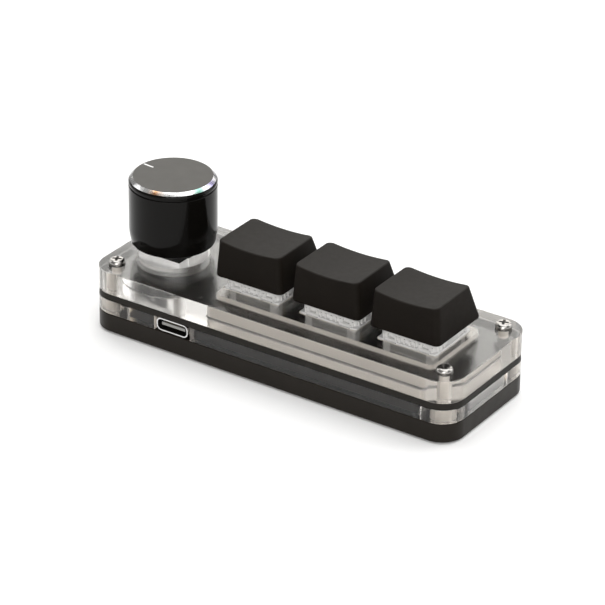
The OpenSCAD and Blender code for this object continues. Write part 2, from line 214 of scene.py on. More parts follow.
def boolean(obj, cutter, op="DIFFERENCE"):
    """Exact boolean of two closed meshes, applied, with the cutter removed."""
    mod = obj.modifiers.new("bool", "BOOLEAN")
    mod.operation, mod.solver, mod.object = op, "EXACT", cutter
    mod.use_self = False
    dg = bpy.context.evaluated_depsgraph_get()
    dg.update()
    me = bpy.data.meshes.new_from_object(obj.evaluated_get(dg))
    obj.modifiers.clear()
    old = obj.data
    obj.data = me
    bpy.data.meshes.remove(old)
    me.name = obj.name
    old = cutter.data
    bpy.data.objects.remove(cutter)
    bpy.data.meshes.remove(old)
    return obj


def tidy(obj, angle=32.0, flat=False, merge=1e-7, recalc=True):
    """Outward normals, smooth faces, and hard edges where the surface turns by more than angle."""
    me = obj.data
    bm = bmesh.new()
    bm.from_mesh(me)
    if merge:
        bmesh.ops.remove_doubles(bm, verts=bm.verts, dist=merge)
    if recalc:
        bmesh.ops.recalc_face_normals(bm, faces=bm.faces)
    lim = math.radians(angle)
    for f in bm.faces:
        f.smooth = not flat
    for e in bm.edges:
        if len(e.link_faces) == 2:
            e.smooth = e.calc_face_angle(0.0) < lim
        else:
            e.smooth = False
    bm.to_mesh(me)
    bm.free()
    me.update()
    return obj


def weigh(obj):
    mod = obj.modifiers.new("weighted_normal", "WEIGHTED_NORMAL")
    mod.keep_sharp = True
    mod.weight = 60
    return obj


def place(obj, body, slot, *replaced):
    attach(obj, body)
    if replaced:
        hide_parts(*replaced)
    return obj


def soften(node, width, segments=2, angle=40.0, weld=0.002):
    """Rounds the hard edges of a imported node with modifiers; its own mesh isn't touched."""
    o = NODES[node]
    w = o.modifiers.new("weld", "WELD")
    w.merge_threshold = weld * MM
    b = o.modifiers.new("bevel", "BEVEL")
    b.width, b.segments, b.limit_method, b.angle_limit = width * MM, segments, "ANGLE", math.radians(angle)
    b.use_clamp_overlap = True
    b.harden_normals = False
    n = o.modifiers.new("weighted_normal", "WEIGHTED_NORMAL")
    n.keep_sharp = True
    n.weight = 60
    return o


# ---------------------------------------------------------------------------
# materials
# ---------------------------------------------------------------------------


class Mat:
    """A Principled material with procedural detail, built up step by step."""

    def __init__(self, name, base=(0.8, 0.8, 0.8), rough=0.5, metal=0.0, **kw):
        self.m = bpy.data.materials.new(name)
        self.m.use_nodes = True
        self.t = self.m.node_tree
        self.t.nodes.clear()
        self.out = self.t.nodes.new("ShaderNodeOutputMaterial")
        self.p = self.t.nodes.new("ShaderNodeBsdfPrincipled")
        self.t.links.new(self.p.outputs[0], self.out.inputs[0])
        self.p.inputs["Base Color"].default_value = (*base, 1)
        self.p.inputs["Roughness"].default_value = rough
        self.p.inputs["Metallic"].default_value = metal
        for k, v in kw.items():
            self.p.inputs[k.replace("_", " ")].default_value = v
        self.co = self.t.nodes.new("ShaderNodeTexCoord")
        self.height = None

    def node(self, kind, **kw):
        n = self.t.nodes.new(kind)
        for k, v in kw.items():
            setattr(n, k, v)
        return n

    def link(self, a, b):
        self.t.links.new(a, b)

    def coords(self, scale=(1, 1, 1), rot=(0, 0, 0), loc=(0, 0, 0)):
        mp = self.node("ShaderNodeMapping")
        mp.inputs["Scale"].default_value = scale
        mp.inputs["Rotation"].default_value = rot
        mp.inputs["Location"].default_value = loc
        self.link(self.co.outputs["Object"], mp.inputs["Vector"])
        return mp.outputs[0]

    def noise(self, scale, detail=3.0, rough=0.5, vec=None, distortion=0.0):
        n = self.node("ShaderNodeTexNoise")
        n.inputs["Scale"].default_value = scale
        n.inputs["Detail"].default_value = detail
        n.inputs["Roughness"].default_value = rough
        n.inputs["Distortion"].default_value = distortion
        self.link(vec if vec is not None else self.co.outputs["Object"], n.inputs["Vector"])
        return n.outputs["Fac"]

    def ramp(self, fac, lo, hi, c0, c1):
        """Maps fac from lo..hi onto two colours or two numbers."""
        r = self.node("ShaderNodeValToRGB")
        r.color_ramp.elements[0].position, r.color_ramp.elements[1].position = lo, hi
        col = lambda c: (c, c, c, 1) if isinstance(c, (int, float)) else (*c, 1)
        r.color_ramp.elements[0].color, r.color_ramp.elements[1].color = col(c0), col(c1)
        self.link(fac, r.inputs["Fac"])
        return r.outputs["Color"]

    def remap(self, fac, a, b, c, d):
        r = self.node("ShaderNodeMapRange")
        for k, v in zip(("From Min", "From Max", "To Min", "To Max"), (a, b, c, d)):
            r.inputs[k].default_value = v
        self.link(fac, r.inputs["Value"])
        return r.outputs["Result"]

    def math(self, op, a, b=None):
        n = self.node("ShaderNodeMath", operation=op)
        for k, x in enumerate((a, b)):
            if x is None:
                continue
            if isinstance(x, (int, float)):
                n.inputs[k].default_value = x
            else:
                self.link(x, n.inputs[k])
        return n.outputs[0]

    def mixc(self, fac, a, b, blend="MIX"):
        n = self.node("ShaderNodeMix", data_type="RGBA", blend_type=blend)
        if isinstance(fac, (int, float)):
            n.inputs["Factor"].default_value = fac
        else:
            self.link(fac, n.inputs["Factor"])
        for k, x in ((6, a), (7, b)):
            if isinstance(x, tuple):
                n.inputs[k].default_value = (*x, 1)
            else:
                self.link(x, n.inputs[k])
        return n.outputs[2]

    def color(self, src):
        self.link(src, self.p.inputs["Base Color"])
        return self

    def rough(self, src):
        self.link(src, self.p.inputs["Roughness"])
        return self

    def bump(self, height, strength, dist, prev=None):
        b = self.node("ShaderNodeBump")
        b.inputs["Strength"].default_value = strength
        b.inputs["Distance"].default_value = dist * MM
        self.link(height, b.inputs["Height"])
        if self.height is not None:
            self.link(self.height, b.inputs["Normal"])
        self.height = b.outputs["Normal"]
        self.link(self.height, self.p.inputs["Normal"])
        return self


def m_plain(name, base, rough, var=0.15, grain=3000.0, bump=0.1, depth=0.01, metal=0.0, rvar=0.06, **kw):
    """Moulded or cast stock: slow colour drift, fine grain in the bump, uneven gloss."""
    m = Mat(name, base, rough, metal, **kw)
    drift = m.noise(260.0, 4.0)
    lo = tuple(c * (1 - var) for c in base)
    hi = tuple(min(1.0, c * (1 + var)) for c in base)
    m.color(m.ramp(drift, 0.3, 0.7, lo, hi))
    m.rough(m.remap(m.noise(900.0, 3.0), 0.3, 0.7, max(0.0, rough - rvar), min(1.0, rough + rvar)))
    m.bump(m.noise(grain, 2.0), bump, depth)
    return m


def make_materials():
    M = {}
    # matt PBT for the tops: fine moulded grain, faint shine
    m = Mat("keycap_pbt", (0.011, 0.0098, 0.0085), 0.6, Specular_IOR_Level=0.15)
    drift = m.noise(180.0, 4.0)
    m.color(m.ramp(drift, 0.3, 0.7, (0.0066, 0.0050, 0.0035), (0.0080, 0.0061, 0.0044)))
    m.rough(m.remap(m.noise(700.0, 4.0, 0.6), 0.3, 0.7, 0.56, 0.61))
    m.bump(m.noise(5200.0, 2.0, 0.6), 0.18, 0.02)
    m.bump(m.noise(1500.0, 2.0, 0.5), 0.02, 0.02)
    M["pbt"] = m.m
    # the skirts get a darker, duller copy of the same PBT: painted shade on the sides
    m = Mat("keycap_skirt_painted_shade", (0.0066, 0.0050, 0.0036), 0.64, Specular_IOR_Level=0.08)
    m.color(m.ramp(m.noise(180.0, 4.0), 0.3, 0.7, (0.0058, 0.0044, 0.0031), (0.0070, 0.0053, 0.0038)))
    m.rough(m.remap(m.noise(700.0, 4.0, 0.6), 0.3, 0.7, 0.60, 0.66))
    m.bump(m.noise(5200.0, 2.0, 0.6), 0.18, 0.02)
    m.bump(m.noise(1500.0, 2.0, 0.5), 0.02, 0.02)
    M["skirt"] = m.m

    # satin charcoal slab
    m = Mat("base_slab", (0.0090, 0.0070, 0.0050), 0.36, Specular_IOR_Level=0.15)
    m.color(m.ramp(m.noise(120.0, 5.0), 0.3, 0.7, (0.0092, 0.0071, 0.0050), (0.0112, 0.0087, 0.0062)))
    m.rough(m.remap(m.noise(500.0, 4.0), 0.3, 0.7, 0.3, 0.4))
    m.bump(m.noise(3800.0, 3.0, 0.6), 0.14, 0.02)
    M["base"] = m.m

    # acrylic, polished
    m = Mat("acrylic_edge", (0.95, 0.94, 0.92), 0.14, Transmission_Weight=1.0, IOR=1.49, Specular_IOR_Level=0.3)
    wave = m.noise(90.0, 2.0, 0.5, m.coords((1, 1, 9)))
    m.rough(m.remap(m.noise(420.0, 3.0, 0.5, m.coords((0.35, 0.35, 3))), 0.35, 0.75, 0.11, 0.19))
    m.bump(wave, 0.12, 0.05)
    m.bump(m.noise(1400.0, 2.0, 0.5, m.coords((0.25, 0.25, 2.5))), 0.03, 0.01)
    M["acrylic"] = m.m

    # acrylic, long side towards the user: sawn, and tinted darker as painted shade on what shows through it
    m = Mat("acrylic_sawn_painted_shade", (0.62, 0.60, 0.57), 0.5, Transmission_Weight=1.0, IOR=1.49)
    m.rough(m.remap(m.noise(420.0, 3.0, 0.5, m.coords((0.35, 0.35, 3))), 0.35, 0.75, 0.44, 0.56))
    m.bump(m.noise(1400.0, 2.0, 0.5, m.coords((0.25, 0.25, 2.5))), 0.04, 0.01)
    M["sawn"] = m.m

    # acrylic, untouched underside and milled ceilings
    m = Mat("acrylic_clear", (0.985, 0.985, 0.975), 0.04, Transmission_Weight=1.0, IOR=1.49)
    m.rough(m.remap(m.noise(300.0, 3.0, 0.5), 0.3, 0.7, 0.02, 0.07))
    m.bump(m.noise(500.0, 2.0, 0.5), 0.02, 0.01)
    M["clear"] = m.m

    # acrylic, satin upper face
    m = Mat("acrylic_satin", (0.95, 0.945, 0.93), 0.17, Transmission_Weight=1.0, IOR=1.49)
    m.rough(m.remap(m.noise(160.0, 3.0, 0.5), 0.3, 0.7, 0.17, 0.20))
    m.bump(m.noise(6000.0, 2.0, 0.6), 0.02, 0.003)
    M["satin"] = m.m

    # acrylic, laser-cut inner walls
    m = Mat("acrylic_cut", (0.79, 0.73, 0.66), 0.45, Transmission_Weight=0.26, IOR=1.49)
    m.rough(m.remap(m.noise(300.0, 3.0), 0.3, 0.7, 0.38, 0.52))
    m.bump(m.noise(2400.0, 2.0, 0.5, m.coords((2.0, 2.0, 0.15))), 0.12, 0.02)
    M["cut"] = m.m

    # acrylic, wall of the round hole, polished a little by the cut; frosted white on its +X/+Y half as painted light,
    # clear on the other half and towards its foot
    m = Mat("acrylic_hole", (0.98, 0.97, 0.95), 0.35, Transmission_Weight=0.5, IOR=1.49)
    sep = m.node("ShaderNodeSeparateXYZ")
    m.link(m.coords(loc=(-KX * MM, -KY * MM, 0)), sep.inputs[0])
    along = m.math("ADD", m.math("MULTIPLY", sep.outputs[0], -0.833), m.math("MULTIPLY", sep.outputs[1], -0.553))
    # painted light: the +X/+Y half of the wall turns frosted white, as if lit, while the other half stays clear
    painted_light_split = m.node("ShaderNodeMapRange", interpolation_type="SMOOTHSTEP")
    for k, v in zip(("From Min", "From Max", "To Min", "To Max"), (-0.001, 0.005, 0.0, 0.86)):
        painted_light_split.inputs[k].default_value = v
    m.link(m.math("ADD", along, m.math("MULTIPLY", m.noise(500.0, 3.0), 0.0016)), painted_light_split.inputs["Value"])
    low = m.node("ShaderNodeMapRange", interpolation_type="SMOOTHSTEP")
    for k, v in zip(("From Min", "From Max", "To Min", "To Max"), ((Z_TOP + 2.0) * MM, (Z_TOP + 4.0) * MM, 0.84, 0.0)):
        low.inputs[k].default_value = v
    m.link(sep.outputs[2], low.inputs["Value"])
    m.link(m.math("ADD", m.math("MAXIMUM", painted_light_split.outputs["Result"], low.outputs["Result"]), 0.08), m.p.inputs["Transmission Weight"])
    m.rough(m.remap(m.noise(300.0, 3.0), 0.3, 0.7, 0.28, 0.42))
    m.bump(m.noise(2400.0, 2.0, 0.5, m.coords((2.0, 2.0, 0.15))), 0.08, 0.02)
    M["hole"] = m.m

    # acrylic, inner walls of the middle frame
    m = Mat("acrylic_inner", (0.50, 0.43, 0.35), 0.3, Transmission_Weight=0.99, IOR=1.3, Specular_IOR_Level=0.3)
    m.rough(m.remap(m.noise(120.0, 2.0), 0.3, 0.7, 0.28, 0.34))
    m.bump(m.noise(2400.0, 2.0, 0.5, m.coords((2.0, 2.0, 0.15))), 0.01, 0.005)
    M["inner"] = m.m

    # acrylic, inner walls at the middle frame's ends, left frosted
    m = Mat("acrylic_inner_end", (0.93, 0.915, 0.89), 0.4, Transmission_Weight=0.55, IOR=1.49)
    m.rough(m.remap(m.noise(200.0, 3.0), 0.3, 0.7, 0.34, 0.46))
    m.bump(m.noise(2400.0, 2.0, 0.5, m.coords((2.0, 2.0, 0.15))), 0.04, 0.01)
    M["inner_end"] = m.m

    # acrylic, dark band at the foot of a cut wall: painted shade where the wall meets the board
    m = Mat("acrylic_foot_painted_shade", (0.10, 0.09, 0.08), 0.5, Transmission_Weight=0.35, IOR=1.49)
    m.color(m.ramp(m.noise(500.0, 3.0), 0.3, 0.7, (0.07, 0.062, 0.055), (0.14, 0.125, 0.11)))
    m.rough(m.remap(m.noise(300.0, 3.0), 0.3, 0.7, 0.42, 0.55))
    M["foot"] = m.m

    # black solder mask over traces, dark laminate at the edge
    m = Mat("solder_mask", (0.008, 0.008, 0.0075), 0.6, Specular_IOR_Level=0.12)
    br = m.node("ShaderNodeTexBrick")
    br.inputs["Scale"].default_value = 260.0
    br.inputs["Mortar Size"].default_value = 0.06
    br.inputs["Color1"].default_value = (0.0062, 0.0050, 0.0038, 1)
    br.inputs["Color2"].default_value = (0.0080, 0.0065, 0.0050, 1)
    br.inputs["Mortar"].default_value = (0.0120, 0.0100, 0.0080, 1)
    m.link(m.coords((1, 1, 1), (0, 0, 0.785)), br.inputs["Vector"])
    m.color(br.outputs["Color"])
    m.rough(m.remap(m.noise(700.0, 3.0), 0.3, 0.7, 0.54, 0.66))
    m.bump(br.outputs["Fac"], 0.25, 0.02)
    m.bump(m.noise(2600.0, 2.0), 0.08, 0.01)
    M["mask"] = m.m
    m = Mat("board_edge", (0.014, 0.0126, 0.0108), 0.5, Specular_IOR_Level=0.1)
    m.color(m.ramp(m.noise(900.0, 3.0, 0.6, m.coords((0.4, 0.4, 6))), 0.3, 0.7, (0.0105, 0.0094, 0.0080), (0.0180, 0.0162, 0.0140)))
    m.bump(m.noise(2600.0, 3.0, 0.6, m.coords((0.4, 0.4, 3))), 0.25, 0.02)
    M["board_edge"] = m.m

    # clear polycarbonate of the switch housings
    for key, tr, r0, r1 in (("clear_switch", 0.31, 0.03, 0.07), ("milky_switch", 0.15, 0.15, 0.25), ("glassy_switch", 0.75, 0.06, 0.14)):
        m = Mat(key, (0.97, 0.965, 0.955), 0.5 * (r0 + r1), Transmission_Weight=tr, IOR=1.58)
        m.rough(m.remap(m.noise(800.0, 3.0), 0.3, 0.7, r0, r1))
        m.bump(m.noise(700.0, 3.0, 0.5), 0.2, 0.08)
        M[key] = m.m

    # metals
    def metal(name, base, rough, grain=2500.0, dirs=(1, 1, 1), bump=0.06, rvar=0.06, aniso=0.0, metallic=1.0):
        m = Mat(name, base, rough, metallic, Anisotropic=aniso)
        lo = tuple(c * 0.93 for c in base)
        hi = tuple(min(1.0, c * 1.05) for c in base)
        m.color(m.ramp(m.noise(500.0, 4.0), 0.3, 0.7, lo, hi))
        m.rough(m.remap(m.noise(900.0, 4.0, 0.6), 0.3, 0.7, max(0.02, rough - rvar), rough + rvar))
        m.bump(m.noise(grain, 3.0, 0.5, m.coords(dirs)), bump, 0.01)
        return m.m

    M["screw"] = metal("screw_steel", (0.38, 0.368, 0.35), 0.24, 1800.0, rvar=0.04)
    # near-black steel for recesses: painted shade inside the screws' crosses and the USB shell
    M["recess"] = metal("screw_recess_painted_shade", (0.09, 0.085, 0.08), 0.4, 1800.0, rvar=0.05)
    M["nickel"] = metal("nickel_steel", (0.70, 0.69, 0.67), 0.26)
    M["usb"] = metal("usb_steel", (0.72, 0.72, 0.72), 0.2, 1500.0, (0.3, 3, 3))
    M["gold"] = metal("gold_contacts", (0.9, 0.68, 0.32), 0.22)
    M["spring"] = metal("spring_steel", (0.74, 0.73, 0.70), 0.22)
    M["zinc"] = metal("encoder_zinc", (0.96, 0.96, 0.95), 0.34, 1300.0, bump=0.01, metallic=0.15)
    M["plated"] = metal("encoder_steel", (0.45, 0.45, 0.44), 0.18, 900.0, (0.3, 3, 3), bump=0.02)
    # near-white and near-black copies of the bracket's metal: painted light on its sides, painted shade on its top
    M["fold"] = metal("encoder_bracket_side_painted_light", (0.95, 0.95, 0.94), 0.34, 900.0, (0.3, 3, 3), bump=0.02, metallic=0.2)
    M["dull"] = metal("encoder_bracket_top_painted_shade", (0.05, 0.05, 0.048), 0.45, 900.0, (0.3, 3, 3), bump=0.02)

    # knob: anodised side with fine turning marks, satin top, cut chamfer with painted glints
    def turned(name, base, rough, pitch, bump, depth, metal=1.0, grain=0.03, rvar=0.05, aniso=0.0, **kw):
        m = Mat(name, base, rough, metal, Anisotropic=aniso, **kw)
        c = m.coords(loc=(-KX * MM, -KY * MM, 0))
        sep = m.node("ShaderNodeSeparateXYZ")
        m.link(c, sep.inputs[0])
        rad = m.math("SQRT", m.math("ADD", m.math("POWER", sep.outputs[0], 2.0), m.math("POWER", sep.outputs[1], 2.0)))
        both = m.math("ADD", rad, sep.outputs[2])
        w = m.math("SINE", m.math("MULTIPLY", both, 2 * math.pi / (pitch * MM)))
        jitter = m.node("ShaderNodeTexNoise", noise_dimensions="1D")
        jitter.inputs["Scale"].default_value = 1.0
        jitter.inputs["Detail"].default_value = 4.0
        m.link(m.math("MULTIPLY", both, 4000.0), jitter.inputs["W"])
        m.bump(m.math("ADD", m.math("MULTIPLY", w, 0.25), jitter.outputs["Fac"]), bump, depth)
        m.bump(m.noise(4200.0, 2.0, 0.6), grain, 0.01)
        lo = tuple(x * 0.94 for x in base)
        hi = tuple(min(1.0, x * 1.06) for x in base)
        m.color(m.ramp(m.noise(300.0, 4.0), 0.3, 0.7, lo, hi))
        m.rough(m.remap(m.noise(600.0, 4.0), 0.3, 0.7, max(0.02, rough - rvar), rough + rvar))
        return m.m

    M["knob_side"] = turned("knob_anodised", (0.003, 0.0027, 0.0023), 0.13, 0.09, 0.03, 0.003, metal=0.0, grain=0.01, rvar=0.03, Specular_IOR_Level=0.12)
    M["knob_top"] = turned("knob_satin_top", (0.057, 0.055, 0.051), 0.42, 0.12, 0.10, 0.005, metal=1.0, grain=0.08, rvar=0.02)
    m = Mat("knob_cut_chamfer_painted_glints", (0.7, 0.7, 0.7), 0.22, 1.0)
    sep = m.node("ShaderNodeSeparateXYZ")
    m.link(m.coords(loc=(-KX * MM, -KY * MM, 0)), sep.inputs[0])
    turn = m.remap(m.math("ARCTAN2", sep.outputs[1], sep.outputs[0]), -math.pi, math.pi, 0.0, 1.0)
    band = m.node("ShaderNodeTexNoise", noise_dimensions="1D")
    band.inputs["Scale"].default_value = 34.0
    band.inputs["Detail"].default_value = 3.0
    m.link(turn, band.inputs["W"])
    # painted glints: near-white stretches and violet, orange and teal highlights set at fixed angles round the chamfer
    painted_glint_ramp = m.node("ShaderNodeValToRGB")
    painted_glint_stops = [(0.0, (0.62, 0.62, 0.74)), (0.03, (0.46, 0.42, 0.66)), (0.07, (0.5, 0.5, 0.52)), (0.55, (0.5, 0.5, 0.5)), (0.68, (0.6, 0.6, 0.6)),
             (0.745, (0.95, 0.95, 0.94)), (0.765, (0.75, 0.6, 0.5)), (0.78, (0.6, 0.29, 0.13)), (0.8, (0.75, 0.64, 0.56)), (0.825, (0.95, 0.95, 0.94)),
             (0.87, (0.6, 0.6, 0.6)), (0.915, (0.95, 0.95, 0.95)), (0.935, (0.46, 0.6, 0.54)), (0.955, (0.28, 0.58, 0.48)), (0.975, (0.5, 0.56, 0.58)),
             (1.0, (0.62, 0.62, 0.74))]
    cr = painted_glint_ramp.color_ramp
    cr.elements[0].position, cr.elements[0].color = painted_glint_stops[0][0], (*painted_glint_stops[0][1], 1)
    cr.elements[1].position, cr.elements[1].color = painted_glint_stops[-1][0], (*painted_glint_stops[-1][1], 1)
    for pos, colr in painted_glint_stops[1:-1]:
        e = cr.elements.new(pos)
        e.color = (*colr, 1)
    m.link(turn, painted_glint_ramp.inputs["Fac"])
    m.color(m.mixc(m.remap(band.outputs["Fac"], 0.3, 0.7, 0.0, 0.5), painted_glint_ramp.outputs["Color"], (0.5, 0.5, 0.5), "MULTIPLY"))
    m.rough(m.remap(band.outputs["Fac"], 0.3, 0.7, 0.14, 0.3))
    M["knob_cut"] = m.m
    M["pointer"] = m_plain("pointer_paint", (0.66, 0.66, 0.65), 0.45, 0.04, 4000.0, 0.1, 0.01).m

    # small parts
    M["rubber"] = m_plain("rubber", (0.018, 0.018, 0.017), 0.75, 0.2, 3500.0, 0.3, 0.03).m
    M["black"] = m_plain("black_plastic", (0.012, 0.012, 0.012), 0.42, 0.2, 3500.0, 0.15, 0.02).m
    # the tongue's mid grey, lighter than plain black plastic, is a painted highlight
    M["tongue"] = m_plain("usb_tongue", (0.22, 0.22, 0.21), 0.35, 0.1, 3500.0, 0.1, 0.01).m
    M["ceramic"] = m_plain("ceramic_parts", (0.42, 0.33, 0.24), 0.5, 0.2, 2500.0, 0.15, 0.02).m
    M["led"] = m_plain("led_plastic", (0.82, 0.82, 0.76), 0.3, 0.05, 2500.0, 0.1, 0.02).m
    M["stem"] = m_plain("stem_plastic", (0.80, 0.79, 0.75), 0.35, 0.05, 2500.0, 0.1, 0.02, Subsurface_Weight=0.0).m
    return M


M = make_materials()

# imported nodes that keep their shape
KEEP = {
    "rubber_feet": "rubber", "standoffs": "nickel", "usb_shell": "usb", "usb_tongue": "tongue", "usb_contacts": "gold",
    "controller_chip": "black", "voltage_regulator": "black", "small_components": "ceramic", "key_leds": "led",
    "hotswap_sockets": "black", "socket_clips": "nickel", "encoder_base": "black", "encoder_housing": "zinc",
    "encoder_bracket": "plated", "encoder_terminals": "nickel", "encoder_wipers": "gold", "encoder_detent_spring": "spring",
    "encoder_plunger": "stem", "encoder_rotor": "black", "encoder_shaft": "plated",
    "knob_core": "black", "knob_pointer": "pointer", "circuit_board": "mask",
    **{f"switch_contacts_{i}": "gold" for i in (1, 2, 3)},
    **{f"switch_stem_{i}": "stem" for i in (1, 2, 3)},
}
for _n, _m in KEEP.items():
    _me = NODES[_n].data
    _me.materials.clear()
    _me.materials.append(M[_m])
for _n, _w in (("rubber_feet", 0.12), ("standoffs", 0.08), ("usb_shell", 0.07), ("usb_tongue", 0.05), ("controller_chip", 0.06),
               ("small_components", 0.05), ("key_leds", 0.08), ("hotswap_sockets", 0.1), ("encoder_housing", 0.15), ("encoder_bracket", 0.1),
               ("switch_stem_1", 0.1), ("switch_stem_2", 0.1), ("switch_stem_3", 0.1), ("encoder_shaft", 0.08)):
    soften(_n, _w)

# the socket's shell takes the near-black recess metal inside, as painted shade, and its solder tabs get the same dark
# colour
_me = NODES["usb_shell"].data
_me.materials.append(M["recess"])
for _p in _me.polygons:
    _c = _p.center / MM
    if abs(_c.x - USB_X) < 4.19 and abs(_c.z - USB_Z) < 1.35 and _c.y < USB_Y - 0.02:
        _p.material_index = 1
    elif _c.z > Z_TOP - 0.2:
        _p.material_index = 1

# the encoder's bracket: a near-black copy of its metal on top as painted shade, a near-white copy on its folded sides
# as painted light
_me = NODES["encoder_bracket"].data
_me.materials.clear()
_me.materials.append(M["fold"])
_me.materials.append(M["dull"])
for _p in _me.polygons:
    _p.material_index = 1 if _p.normal.z > 0.5 else 0

# the board: dark laminate on its sides, mask on its faces
_me = NODES["circuit_board"].data
_me.materials.append(M["board_edge"])
for _p in _me.polygons:
    _p.material_index = 0 if abs(_p.normal.z) > 0.5 else 1

# ---------------------------------------------------------------------------
# case
# ---------------------------------------------------------------------------


def make_base():
    b = Build()
    b.loft(edge_rings(CASE_L, CASE_W, CASE_R, Z_BASE, Z_FRAME, 0.35, 0.22, n=20, steps=4), 0)
    o = b.object("base_slab", [M["base"]])
    c = Build()
    for sx in (-1, 1):
        for sy in (-1, 1):
            c.loft([lift(circle(4.05, 64, sx * 40, sy * 10), Z_BASE - 0.5), lift(circle(4.05, 64, sx * 40, sy * 10), Z_BASE + 0.6)])
    for x, y in SCREWS:
        c.loft([lift(circle(1.62, 48, x, y), Z_BASE + 1.2), lift(circle(1.62, 48, x, y), Z_FRAME + 1)])
    boolean(o, c.object("cut_base"))
    weigh(tidy(o, 50))
    place(o, "case", "base", "base_plate")


def make_middle():
    z0, z1 = Z_FRAME + GAP, Z_BOARD - GAP
    b = Build()
    b.loft(edge_rings(CASE_L, CASE_W, CASE_R, z0, z1, 0.14, 0.14, n=20, steps=3), 0, cap_mats=(1, 1))
    o = b.object("middle_frame_acrylic", [M["acrylic"], M["clear"], M["cut"], M["inner"], M["inner_end"]])
    c = Build()
    c.loft([lift(rr(82.4, 28.8, 2, 8), z0 - 1), lift(rr(82.4, 28.8, 2, 8), z1 + 1)], 3)
    o = boolean(o, c.object("cut_frame"))
    c = Build()
    c.loft([lift(rr(95.2, 17.2, 2, 8), z0 - 1), lift(rr(95.2, 17.2, 2, 8), z1 + 1)], 3)
    o = boolean(o, c.object("cut_frame"))
    c = Build()
    c.loft([lift(rr(10.3, 12, 0.2, 3, USB_X, 17.6), z0 - 1), lift(rr(10.3, 12, 0.2, 3, USB_X, 17.6), z1 + 1)], 2)
    for x, y in SCREWS:
        c.loft([lift(circle(2.25, 48, x, y), z0 - 1), lift(circle(2.25, 48, x, y), z1 + 1)], 2)
    o = boolean(o, c.object("cut_frame"))
    for p in o.data.polygons:
        if p.material_index == 3 and abs(p.center.x) > 47 * MM:
            p.material_index = 4
    weigh(tidy(o, 40))
    place(o, "case", "clear_acrylic", "middle_frame")


def make_top():
    z0, z1 = Z_TOP + GAP, Z_PLATE
    b = Build()
    rings = edge_rings(CASE_L, CASE_W, CASE_R, z0, z1, 0.14, 0.16, n=20, steps=3)
    b.loft(rings, 0, cap_mats=(3, 1))
    o = b.object("top_plate_acrylic", [M["acrylic"], M["satin"], M["cut"], M["clear"], M["foot"], M["hole"], M["sawn"]])
    c = Build()
    for x, y in SCREWS:
        flared_round(c, 1.2, z0 - 1, z1, 0.1, 48, x, y, 2)
    for x, y in KEYS:
        # recess for the flange over the square opening
        c.loft([lift(rr(14.0, 14.0, 0.25, 4, x, y), z0 - 1), lift(rr(14.0, 14.0, 0.25, 4, x, y), FLANGE_Z),
                lift(rr(15.8, 15.8, 0.4, 4, x, y), FLANGE_Z), lift(rr(15.8, 15.8, 0.4, 4, x, y), z1 - 0.08),
                lift(rr(16.4, 16.4, 0.7, 4, x, y), z1 + 0.22)], 2)
    flared_round(c, 8.6, z0 - 1, z1, 0.12, 128, KX, KY, 5)
    o = boolean(o, c.object("cut_top"))
    c = Build()
    px, py = KEYS[1]
    f = 0.38
    # pocket under the keys; the chamfer at its foot takes the dark foot material, painted shade where the wall meets
    # the board
    c.loft([lift(rr(60.4 + 2 * f + 0.4, 21 + 2 * f + 0.4, 1.7 + f, 8, px, py), z0 - 0.2), lift(rr(60.4, 21, 1.5, 8, px, py), z0 + f),
            lift(rr(60.4, 21, 1.5, 8, px, py), Z_TOP + 3.5)], [4, 2], cap_mats=(3, 3))
    # the same painted-shade chamfer at the foot of the round hole
    f = 0.22
    c.loft([lift(circle(8.6 + f + 0.2, 128, KX, KY), z0 - 0.2), lift(circle(8.6, 128, KX, KY), z0 + f), lift(circle(8.0, 128, KX, KY), z0 + f + 0.6)], [4, 5], cap_mats=(3, 5))
    o = boolean(o, c.object("cut_top"))
    # the long side towards the user takes the darker tinted acrylic: painted shade
    for p in o.data.polygons:
        if p.material_index == 0 and p.center.y < -(CASE_W / 2 - 0.3) * MM:
            p.material_index = 6
    weigh(tidy(o, 40))
    place(o, "case", "clear_acrylic_satin", "top_plate")


